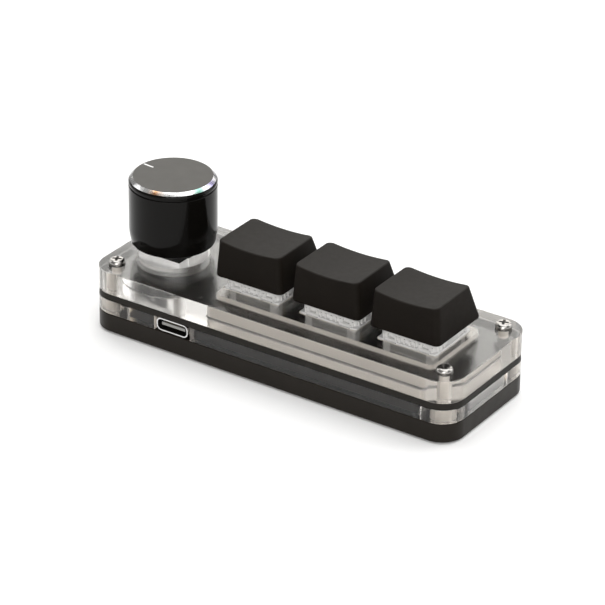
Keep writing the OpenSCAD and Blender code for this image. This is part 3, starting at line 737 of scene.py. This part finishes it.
def make_screws():
    """Four pan heads with a cross recess, and rolled threads."""
    b = Build()
    for x, y in SCREWS:
        seg = 48
        prof = [(0.7, -0.02), (1.75, 0.0), (1.93, 0.03), (2.0, 0.12), (2.0, 0.62)]
        prof += [(1.25 + 0.75 * math.cos(math.radians(a)), 0.65 + 0.9 * math.sin(math.radians(a))) for a in range(10, 90, 10)]
        prof += [(1.25, 1.553), (0.8, 1.575), (0.4, 1.588)]
        idx = [b.ring([(x + r * math.cos(2 * math.pi * k / seg), y + r * math.sin(2 * math.pi * k / seg), Z_PLATE + z) for k in range(seg)]) for r, z in prof]
        for k in range(len(idx) - 1):
            b.bridge(idx[k], idx[k + 1])
        b.cap(idx[0], up=False)
        b.cap(idx[-1], up=True)
    o = b.object("case_screws_detail", [M["screw"], M["recess"]])
    c = Build()
    for n, (x, y) in enumerate(SCREWS):
        turn = math.radians(20 + 31 * n)
        for q in (0.0, math.pi / 2):
            # tapered wing of the recess
            def wing(half, wid, z):
                pts = [(half, -wid), (half, wid), (-half, wid), (-half, -wid)]
                ca, sa = math.cos(turn + q), math.sin(turn + q)
                return [(x + px * ca - py * sa, y + px * sa + py * ca, z) for px, py in pts]
            c2 = Build()
            # the recess walls take the near-black recess metal: painted shade
            c2.loft([wing(0.4, 0.2, Z_PLATE + 0.45), wing(1.3, 0.34, Z_PLATE + 1.75)], 1)
            cut = c2.object("cut_screw")
            boolean(o, cut)
    tidy(o, 35)
    # threads: a helical ridge round each shank
    t = Build()
    seg, pitch = 20, 0.4
    for x, y in SCREWS:
        z_lo, z_hi = Z_PLATE - 12.0, Z_PLATE - 0.05
        core = [t.ring([(x + 0.76 * math.cos(2 * math.pi * k / seg), y + 0.76 * math.sin(2 * math.pi * k / seg), z) for k in range(seg)]) for z in (z_lo, z_hi)]
        t.bridge(core[0], core[1])
        t.cap(core[0], up=False)
        t.cap(core[1], up=True)
        turns = int((z_hi - z_lo - 0.5) / pitch)
        n = turns * seg
        rows = []
        for k in range(n + 1):
            a = 2 * math.pi * k / seg
            zc = z_lo + 0.22 + pitch * k / seg
            rows.append(t.ring([(x + r * math.cos(a), y + r * math.sin(a), zc + dz) for r, dz in ((0.74, -0.17), (0.95, -0.03), (0.95, 0.03), (0.74, 0.17))]))
        for k in range(n):
            t.bridge(rows[k], rows[k + 1])
        t.cap(rows[0])
        t.cap(rows[-1], up=False)
    th = t.object("case_screw_threads", [M["screw"]])
    tidy(th, 30)
    place(o, "case", "screw_steel", "case_screws")
    place(th, "case", "screw_steel")


# ---------------------------------------------------------------------------
# keycaps
# ---------------------------------------------------------------------------
CAP_W, CAP_H, CAP_DISH = 18.7, 9.4, 0.75
TOP_W, TOP_D, TOP_Y = 17.3, 14.8, 1.79
DISH_R = (8.65 * 8.65 + CAP_DISH * CAP_DISH) / (2 * CAP_DISH)


def dish(x):
    return CAP_H - CAP_DISH + DISH_R - math.sqrt(DISH_R * DISH_R - x * x)


def make_keycap(i, cx, cy):
    n, m = 10, 14
    low = rr(CAP_W, CAP_W, 1.4, n, m=m)
    top = rr(TOP_W, TOP_D, 1.6, n, 0, TOP_Y, m)
    N = len(low)

    def side(t, inset=0.0):
        """Point row of the side wall at share t of its height."""
        w, d = CAP_W + (TOP_W - CAP_W) * t, CAP_W + (TOP_D - CAP_W) * t
        r = 1.4 + 0.2 * t
        return rr(w - 2 * inset, d - 2 * inset, r - inset, n, 0, TOP_Y * t, m)

    b = Build()
    # where each side line meets the dished top
    tt, edge = [], []
    for k in range(N):
        t = 1.0
        for _ in range(8):
            x = low[k][0] + (top[k][0] - low[k][0]) * t
            t = (dish(x) - 0.4) / (CAP_H - 0.4)
        x = low[k][0] + (top[k][0] - low[k][0]) * t
        y = low[k][1] + (top[k][1] - low[k][1]) * t
        tt.append(t)
        edge.append((x, y, dish(x)))
    fil = 0.42
    inner = rr(TOP_W - 2 * fil, TOP_D - 2 * fil, 1.6 - fil, n, 0, TOP_Y, m)
    rings = []
    for z, ins in ((0.0, 0.08), (0.03, 0.02), (0.1, 0.0)):
        rings.append(b.ring([(cx + x, cy + y, CAP_Z + z) for x, y in side(0, ins)]))
    for s in range(0, 9):
        row = []
        for k in range(N):
            z_end = edge[k][2] - fil
            z = 0.4 + (z_end - 0.4) * s / 8.0
            t = (z - 0.4) / (CAP_H - 0.4)
            x = low[k][0] + (top[k][0] - low[k][0]) * t
            y = low[k][1] + (top[k][1] - low[k][1]) * t
            row.append((cx + x, cy + y, CAP_Z + z))
        rings.append(b.ring(row))
    last = [tuple(c) for c in (b.v[j] for j in rings[-1])]
    tops = []
    for k in range(N):
        ix, iy = inner[k]
        tops.append((cx + ix, cy + iy, CAP_Z + dish(ix)))
    w = 0.707
    for s in range(1, 6):
        t = s / 6.0
        row = []
        for k in range(N):
            A, E, T = Vector(last[k]), Vector((cx + edge[k][0], cy + edge[k][1], CAP_Z + edge[k][2])), Vector(tops[k])
            d = (1 - t) ** 2 + 2 * w * t * (1 - t) + t * t
            row.append(tuple(((1 - t) ** 2 * A + 2 * w * t * (1 - t) * E + t * t * T) / d))
        rings.append(b.ring(row))
    rings.append(b.ring(tops))
    # top surface, in shrinking rings on the dish
    for s in (0.86, 0.7, 0.54, 0.38, 0.22, 0.1):
        row = []
        for k in range(N):
            x, y = inner[k][0] * s, TOP_Y + (inner[k][1] - TOP_Y) * s
            row.append((cx + x, cy + y, CAP_Z + dish(x)))
        rings.append(b.ring(row))
    for k in range(len(rings) - 1):
        b.bridge(rings[k], rings[k + 1])
    b.fan(rings[-1], (cx, cy + TOP_Y, CAP_Z + dish(0.0)))
    # inside, from the rim up to the ceiling
    i_low, i_top, z_c = (16.5, 16.5, 0.8, 0.0), (15.0, 12.4, 0.8, 1.7), CAP_H - 2.19
    inside = [b.ring([(cx + x, cy + y, CAP_Z) for x, y in rr(i_low[0] + 0.24, i_low[1] + 0.24, 0.92, n, 0, 0, m)])]
    inside.append(b.ring([(cx + x, cy + y, CAP_Z + 0.12) for x, y in rr(i_low[0], i_low[1], 0.8, n, 0, 0, m)]))
    for t, ins in ((0.5, 0), (0.93, 0), (0.985, 0.12), (1.0, 0.5)):
        wd = [i_low[j] + (i_top[j] - i_low[j]) * t for j in range(4)]
        inside.append(b.ring([(cx + x, cy + y, CAP_Z + z_c * t) for x, y in rr(wd[0] - 2 * ins, wd[1] - 2 * ins, max(0.3, wd[2] - ins), n, 0, wd[3], m)]))
    b.bridge(inside[0], rings[0])
    for k in range(len(inside) - 1):
        b.bridge(inside[k + 1], inside[k])
    b.cap(inside[-1], up=False)
    o = b.object(f"keycap_{i}_shell", [M["pbt"], M["skirt"]])
    # faces steeper than the top (|normal z| < 0.62) take the darker skirt copy: painted shade
    for p in o.data.polygons:
        if abs(p.normal.z) < 0.62:
            p.material_index = 1
    # post with its cross socket
    p = Build()
    z_p0, z_p1 = Z_PLATE + 6.15, CAP_Z + z_c + 0.15
    pr = [(2.6, z_p0), (2.75, z_p0 + 0.15), (2.75, z_p1)]
    idx = [p.ring([(cx + r * math.cos(2 * math.pi * k / 48), cy + r * math.sin(2 * math.pi * k / 48), z) for k in range(48)]) for r, z in pr]
    p.bridge(idx[0], idx[1])
    p.bridge(idx[1], idx[2])
    p.cap(idx[0], up=False)
    p.cap(idx[-1], up=True)
    post = p.object("post", [M["pbt"]])
    c = Build()
    c.loft([lift([(cx + 2.05, cy - 0.65), (cx + 2.05, cy + 0.65), (cx - 2.05, cy + 0.65), (cx - 2.05, cy - 0.65)], z_p0 - 1),
            lift([(cx + 2.05, cy - 0.65), (cx + 2.05, cy + 0.65), (cx - 2.05, cy + 0.65), (cx - 2.05, cy - 0.65)], Z_PLATE + 10.0)])
    boolean(post, c.object("cut_post"))
    c = Build()
    c.loft([lift([(cx + 0.575, cy - 2.05), (cx + 0.575, cy + 2.05), (cx - 0.575, cy + 2.05), (cx - 0.575, cy - 2.05)], z_p0 - 1),
            lift([(cx + 0.575, cy - 2.05), (cx + 0.575, cy + 2.05), (cx - 0.575, cy + 2.05), (cx - 0.575, cy - 2.05)], Z_PLATE + 10.0)])
    boolean(post, c.object("cut_post"))
    tidy(o, 60)
    boolean(o, post, "UNION")
    weigh(tidy(o, 45))
    place(o, f"key_{i}", "keycap_pbt", f"keycap_{i}")


# ---------------------------------------------------------------------------
# switches
# ---------------------------------------------------------------------------


def make_switch(i, cx, cy):
    zf = FLANGE_Z
    # lower half: flange with eased edges over the hollow body
    b = Build()
    b.loft(edge_rings(15.6, 15.6, 0.6, zf, zf + 1.0, 0.08, 0.14, n=5, cx=cx, cy=cy, steps=2), 0)
    o = b.object(f"switch_{i}_housing_low", [M["clear_switch"], M["glassy_switch"], M["milky_switch"]])
    u = Build()
    u.loft(edge_rings(13.9, 13.9, 0.5, Z_TOP + 0.01, zf + 0.3, 0.2, 0, n=4, cx=cx, cy=cy, steps=2, m=8), 1)
    boolean(o, u.object("u"), "UNION")
    c = Build()
    c.loft([lift(rr(11.9, 11.9, 0.5, 4, cx, cy), Z_PLATE - 4.5), lift(rr(11.9, 11.9, 0.5, 4, cx, cy), zf + 2)])
    boolean(o, c.object("c"))
    u = Build()
    # spring seat tube, locating post and two side pegs
    u.loft([lift(circle(1.95, 40, cx, cy), Z_PLATE - 8.8), lift(circle(1.95, 40, cx, cy), Z_PLATE - 4.9)])
    for s in (-1, 1):
        u.loft([lift(circle(0.85, 24, cx + s * 5.08, cy), Z_PLATE - 7.7), lift(circle(0.85, 24, cx + s * 5.08, cy), Z_PLATE - 5.2)])
    boolean(o, u.object("u"), "UNION")
    u = Build()
    u.loft([lift(circle(1.6, 32, cx, cy), Z_PLATE - 4.95), lift(circle(1.6, 32, cx, cy), Z_PLATE - 1.4)])
    boolean(o, u.object("u"), "UNION")
    c = Build()
    c.loft([lift(circle(1.1, 32, cx, cy), Z_PLATE - 7.1), lift(circle(1.1, 32, cx, cy), Z_PLATE - 1.0)])
    # clip notches in the flange's front and back sides
    for s in (-1, 1):
        c.loft([lift(rr(3.4, 1.0, 0.1, 2, cx + s * 4.4, cy + 7.8 - 0.25), zf + 0.45), lift(rr(3.4, 1.0, 0.1, 2, cx + s * 4.4, cy + 7.8 - 0.25), zf + 1.5)])
        c.loft([lift(rr(3.4, 1.0, 0.1, 2, cx + s * 4.4, cy - 7.8 + 0.25), zf + 0.45), lift(rr(3.4, 1.0, 0.1, 2, cx + s * 4.4, cy - 7.8 + 0.25), zf + 1.5)])
    boolean(o, c.object("c"))
    for p in o.data.polygons:
        c = p.center / MM
        if p.material_index == 1 and abs(c.x - cx) > 5.1 and abs(c.y - cy) > 5.1:
            p.material_index = 2
    weigh(tidy(o, 35))
    place(o, "case", "clear_switch", f"switch_base_{i}")

    # upper half: tapered cover with rounded corners, grooves and windows
    zc, zt = zf + 1.0, Z_PLATE + 5.9
    prof = [(14.2, 13.8, 0.6, zc), (14.6, 14.2, 0.8, zc + 0.2), (14.6, 14.2, 0.8, zc + 1.1), (14.3, 13.9, 0.8, zc + 1.35)]
    for k in range(1, 7):
        t = k / 7.0
        prof.append((14.3 + (10.9 - 14.3) * t, 13.9 + (10.1 - 13.9) * t, 0.8 + 0.2 * t, zc + 1.35 + (zt - 0.35 - zc - 1.35) * t))
    prof += [(10.75, 9.95, 1.0, zt - 0.3), (10.5, 9.7, 0.95, zt - 0.08), (10.1, 9.3, 0.8, zt)]
    b = Build()
    b.loft([lift(rr(w, d, r, 6, cx, cy), z) for w, d, r, z in prof], 0)
    o = b.object(f"switch_{i}_housing_top", [M["clear_switch"]])
    c = Build()
    c.loft([lift(rr(12.2, 12.2, 0.5, 4, cx, cy), zc - 0.5), lift(rr(12.2, 12.2, 0.5, 4, cx, cy), zc + 0.1), lift(rr(9.8, 8.4, 0.5, 4, cx, cy), Z_PLATE + 4.8)])
    boolean(o, c.object("c"))
    # short ribs round the foot of the cover
    c = Build()
    for sy in (-1, 1):
        for x0, w in ((-6.5, 0.4), (-3.1, 0.5), (-1.9, 0.35), (-0.6, 0.6), (0.9, 0.4), (2.2, 0.5), (3.15, 0.3), (6.4, 0.45)):
            c.loft([lift(rr(w, 0.62, 0.1, 2, cx + x0, cy + sy * 7.14), zc + 0.03), lift(rr(w, 0.5, 0.1, 2, cx + x0, cy + sy * 7.1), zc + 1.15)])
    for sx in (-1, 1):
        for y0, w in ((-6.1, 0.45), (-4.9, 0.35), (-3.0, 0.5), (3.2, 0.4), (4.6, 0.5), (6.0, 0.35)):
            c.loft([lift(rr(0.6, w, 0.1, 2, cx + sx * 7.34, cy + y0), zc + 0.03), lift(rr(0.5, w, 0.1, 2, cx + sx * 7.3, cy + y0), zc + 1.15)])
    boolean(o, c.object("c"), "UNION")
    c = Build()
    c.loft([lift(rr(7.4, 6.2, 0.3, 3, cx, cy), Z_PLATE + 4.0), lift(rr(7.4, 6.2, 0.3, 3, cx, cy), zt + 1)])
    for sx in (-1, 1):
        # clip windows low on the front and back
        for sy in (-1, 1):
            c.loft([lift(rr(1.9, 1.3, 0.15, 2, cx + sx * 4.6, cy + sy * 7.05), zc + 0.25), lift(rr(1.9, 1.3, 0.15, 2, cx + sx * 4.6, cy + sy * 7.05), zc + 1.3)])
        # side rails
        c.loft([lift(rr(0.9, 3.6, 0.15, 2, cx + sx * 7.2, cy), zc + 0.3), lift(rr(0.9, 3.6, 0.15, 2, cx + sx * 7.2, cy), zc + 1.5)])
    boolean(o, c.object("c"))
    c = Build()
    for sy in (-1, 1):
        # slanted grooves up the front and back faces
        for x0 in (-2.6, 2.6):
            lo_y, hi_y = cy + sy * 6.95, cy + sy * 4.85
            pts0 = [(cx + x0 - 0.35, lo_y - 0.35), (cx + x0 + 0.35, lo_y - 0.35), (cx + x0 + 0.35, lo_y + 0.35), (cx + x0 - 0.35, lo_y + 0.35)]
            pts1 = [(cx + x0 - 0.35, hi_y - 0.35), (cx + x0 + 0.35, hi_y - 0.35), (cx + x0 + 0.35, hi_y + 0.35), (cx + x0 - 0.35, hi_y + 0.35)]
            c.loft([lift(pts0, zc + 1.45), lift(pts1, zt + 0.5)])
    boolean(o, c.object("c"))
    weigh(tidy(o, 35))
    place(o, "case", "clear_switch", f"switch_cover_{i}")

    # coil spring, built at rest; a real one shortens as the key goes down
    b = Build()
    z0, z1, turns, seg, sides, r, wire = Z_PLATE - 4.45, Z_PLATE + 2.45, 9, 32, 8, 2.0, 0.15
    n = turns * seg
    rows = []
    for k in range(n + 1):
        a = 2 * math.pi * k / seg
        s = k / n
        # closed end turns lie flat, the free ones between rise evenly
        e = 1.0 / turns
        if s < e:
            h = s * 0.35
        elif s > 1 - e:
            h = 1 - (1 - s) * 0.35
        else:
            h = e * 0.35 + (s - e) / (1 - 2 * e) * (1 - 0.7 * e)
        zc2 = z0 + wire + (z1 - z0 - 2 * wire) * h
        rows.append(b.ring([(cx + (r + wire * math.cos(2 * math.pi * j / sides)) * math.cos(a), cy + (r + wire * math.cos(2 * math.pi * j / sides)) * math.sin(a), zc2 + wire * math.sin(2 * math.pi * j / sides)) for j in range(sides)]))
    for k in range(n):
        b.bridge(rows[k], rows[k + 1])
    b.cap(rows[0])
    b.cap(rows[-1], up=False)
    o = b.object(f"switch_{i}_coil", [M["spring"]])
    tidy(o, 60)
    place(o, "case", "spring_steel", f"switch_spring_{i}")
    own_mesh(o)


# ---------------------------------------------------------------------------
# knob
# ---------------------------------------------------------------------------


def make_knob():
    seg = 192
    R, H = KNOB_R, KNOB_H
    prof = [(4.8, 0.12, 0), (4.92, 0.0, 0), (R - 1.0, 0.0, 0)]
    for a in range(-80, 1, 10):
        prof.append((R - 1.0 + 0.5 * math.cos(math.radians(a)), 0.5 + 0.5 * math.sin(math.radians(a)), 0))
    for t in range(1, 19):
        prof.append((R - 0.5 + 0.5 * math.sin(math.radians(5 * t)), 0.5 + 3.8 * t / 18, 0))
    prof += [(R, H - 8.0, 0), (R, H - 2.31, 0), (R - 0.02, H - 2.26, 0), (R - 0.06, H - 2.23, 0), (R - 0.26, H - 2.14, 0), (R - 0.3, H - 2.10, 0),
             (R - 0.3, H - 1.85, 0), (R - 0.26, H - 1.80, 0), (R - 0.06, H - 1.72, 0), (R - 0.02, H - 1.69, 0), (R, H - 1.64, 0),
             (R, H - 1.13, 0), (R - 0.012, H - 1.09, 0), (R - 0.23, H - 0.71, 0), (R - 0.25, H - 0.68, 1),
             (R - 0.27, H - 0.66, 1), (R - 1.02, H - 0.02, 1), (R - 1.05, H, 2), (R - 1.25, H, 2), (6.0, H, 2), (3.0, H, 2), (0.6, H, 2)]
    b = Build()
    cs = [(math.cos(2 * math.pi * k / seg), math.sin(2 * math.pi * k / seg)) for k in range(seg)]
    idx = [b.ring([(KX + r * c, KY + r * s, KNOB_Z + z) for c, s in cs]) for r, z, _ in prof]
    for k in range(len(idx) - 1):
        b.bridge(idx[k], idx[k + 1], prof[k][2])
    b.fan(idx[-1], (KX, KY, KNOB_Z + H), 2)
    inner = [b.ring([(KX + 4.8 * c, KY + 4.8 * s, KNOB_Z + 13.29) for c, s in cs])]
    b.bridge(inner[0], idx[0], 0)
    b.cap(inner[0], 0, up=False)
    o = b.object("knob_body", [M["knob_side"], M["knob_cut"], M["knob_top"]])
    # seat of the pointer line
    a = math.radians(-6)
    ca, sa = math.cos(a), math.sin(a)

    def slot(w, d, r, z):
        return [(KX + (7.8 + x) * ca - y * sa, KY + (7.8 + x) * sa + y * ca, z) for x, y in rr(w, d, r, 5)]

    c = Build()
    c.loft([slot(3.1, 0.55, 0.26, KNOB_Z + H - 0.15), slot(3.1, 0.55, 0.26, KNOB_Z + H + 0.5)], 2)
    tidy(o, 60)
    boolean(o, c.object("cut_pointer"))
    weigh(tidy(o, 24))
    place(o, "knob", "knob_aluminium", "knob_shell")
    # the filled line, a little proud of its seat's floor and softly crowned
    b = Build()
    b.loft([slot(3.06, 0.51, 0.24, KNOB_Z + H - 0.149), slot(3.06, 0.51, 0.24, KNOB_Z + H - 0.04), slot(2.98, 0.43, 0.2, KNOB_Z + H - 0.012)], 0)
    o = b.object("pointer_line", [M["pointer"]])
    weigh(tidy(o, 50))
    place(o, "knob", "pointer_paint", "knob_pointer")


def make_dome():
    """The encoder's snap dome, built at rest; a real one flattens as the knob is pushed."""
    z0 = Z_TOP + 0.4
    b = Build()
    outer, under = [], []
    for k in range(17):
        t = k / 17.0
        r = 2.42 * (1 - t * t)
        outer.append(b.ring([(KX + x, KY + y, z0 + 1.17 * (1 - (r / 2.42) ** 3.6)) for x, y in circle(r, 64)]))
        r = 2.3 * (1 - t * t)
        under.append(b.ring([(KX + x, KY + y, z0 + 1.05 * (1 - (r / 2.3) ** 3.6)) for x, y in circle(r, 64)]))
    for k in range(16):
        b.bridge(outer[k], outer[k + 1])
        b.bridge(under[k + 1], under[k])
    b.bridge(under[0], outer[0])
    b.fan(outer[-1], (KX, KY, z0 + 1.17))
    b.fan(under[-1], (KX, KY, z0 + 1.05), up=False)
    o = b.object("encoder_snap_dome", [M["spring"]])
    tidy(o, 60)
    place(o, "case", "spring_steel", "encoder_dome")
    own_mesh(o)


make_base()
make_dome()
make_middle()
make_top()
make_screws()
for _i, (_x, _y) in enumerate(KEYS, 1):
    make_keycap(_i, _x, _y)
    make_switch(_i, _x, _y)
make_knob()

# ---------------------------------------------------------------------------
# camera, floor and light
# ---------------------------------------------------------------------------
AZ, EL, ROLL = math.radians(213.5911), math.radians(27.9967), math.radians(0.7947)
_back = Vector((math.sin(AZ) * math.cos(EL), -math.cos(AZ) * math.cos(EL), math.sin(EL)))
_right = Vector((math.cos(AZ), math.sin(AZ), 0.0))
_up = _back.cross(_right)
_row0 = _right * math.cos(ROLL) + _up * math.sin(ROLL)
_row1 = -_right * math.sin(ROLL) + _up * math.cos(ROLL)
cam = bpy.data.cameras.new("camera")
cam_ob = bpy.data.objects.new("camera", cam)
SC.collection.objects.link(cam_ob)
_m = Matrix((_row0, _row1, _back)).transposed().to_4x4()
_m.translation = (_row0 * -0.890 + _row1 * 12.328 + _back * 792.6 + Vector((0, 0, 0.4))) * MM
cam_ob.matrix_world = _m
cam.sensor_fit = "HORIZONTAL"
cam.sensor_width = 36.0
cam.lens = 3362.9 / 605 * 36.0
cam.clip_start, cam.clip_end = 0.02, 20.0
SC.camera = cam_ob


def make_floor():
    b = Build()
    n, rings = 96, []
    for r in (60, 140, 300, 700, 1600, 4000):
        rings.append(b.ring(lift(circle(r, n), 0.0)))
    b.fan(rings[0], (0, 0, 0.0))
    for k in range(len(rings) - 1):
        b.bridge(rings[k + 1], rings[k])
    for k, f in enumerate(b.f):
        b.f[k] = f
    m = Mat("floor_paper", (0.74, 0.74, 0.74), 0.9, Specular_IOR_Level=0.1, Emission_Color=(1.0, 1.0, 1.0, 1.0), Emission_Strength=0.07)
    m.color(m.ramp(m.noise(12.0, 4.0), 0.3, 0.7, (0.735, 0.735, 0.733), (0.75, 0.75, 0.748)))
    m.bump(m.noise(900.0, 3.0), 0.03, 0.02)
    o = b.object("floor", [m.m])
    tidy(o, 60, recalc=False)


make_floor()

world = bpy.data.worlds.new("studio")
SC.world = world
world.use_nodes = True
_bg = world.node_tree.nodes["Background"]
_bg.inputs["Color"].default_value = (1.0, 0.99, 0.975, 1)
_bg.inputs["Strength"].default_value = 0.3


def softbox(name, azimuth, elevation, distance, w, h, radiance, color=(1, 1, 1), aim=(0, 0, 12)):
    """Area light round the object; azimuth is measured in the picture: 0 is towards the camera, 90 to its right."""
    az = AZ + math.radians(azimuth)
    el = math.radians(elevation)
    d = Vector((math.sin(az) * math.cos(el), -math.cos(az) * math.cos(el), math.sin(el)))
    lamp = bpy.data.lights.new(name, "AREA")
    lamp.shape = "RECTANGLE"
    lamp.size, lamp.size_y = w, h
    lamp.energy = radiance * math.pi * w * h
    lamp.color = color
    o = bpy.data.objects.new(name, lamp)
    SC.collection.objects.link(o)
    o.location = d * distance + Vector(aim) * MM
    o.rotation_mode = "QUATERNION"
    o.rotation_quaternion = (Vector(aim) * MM - o.location).to_track_quat("-Z", "Y")
    o.visible_camera = False
    return o


softbox("light_backdrop", 180, 28, 1.1, 1.5, 0.6, 2.1, (1.0, 0.985, 0.95))
softbox("light_top", 160, 78, 1.0, 1.2, 1.0, 2.8)
softbox("light_right", 108, 26, 1.1, 0.8, 0.8, 2.4)
softbox("light_front", 12, 38, 1.2, 1.1, 1.0, 1.9)
softbox("light_left", -112, 22, 1.2, 0.5, 0.7, 2.1)
softbox("light_low", -10, 13, 1.2, 0.7, 0.3, 7.6, (1.0, 0.975, 0.95))

SC.cycles.max_bounces = 24
SC.cycles.transmission_bounces = 20
SC.cycles.glossy_bounces = 8
SC.cycles.diffuse_bounces = 5
SC.cycles.sample_clamp_indirect = 5.0
SC.cycles.blur_glossy = 0.6
SC.view_settings.view_transform = "Standard"
SC.view_settings.look = "None"
SC.view_settings.exposure = 0.0
SC.view_settings.gamma = 1.0
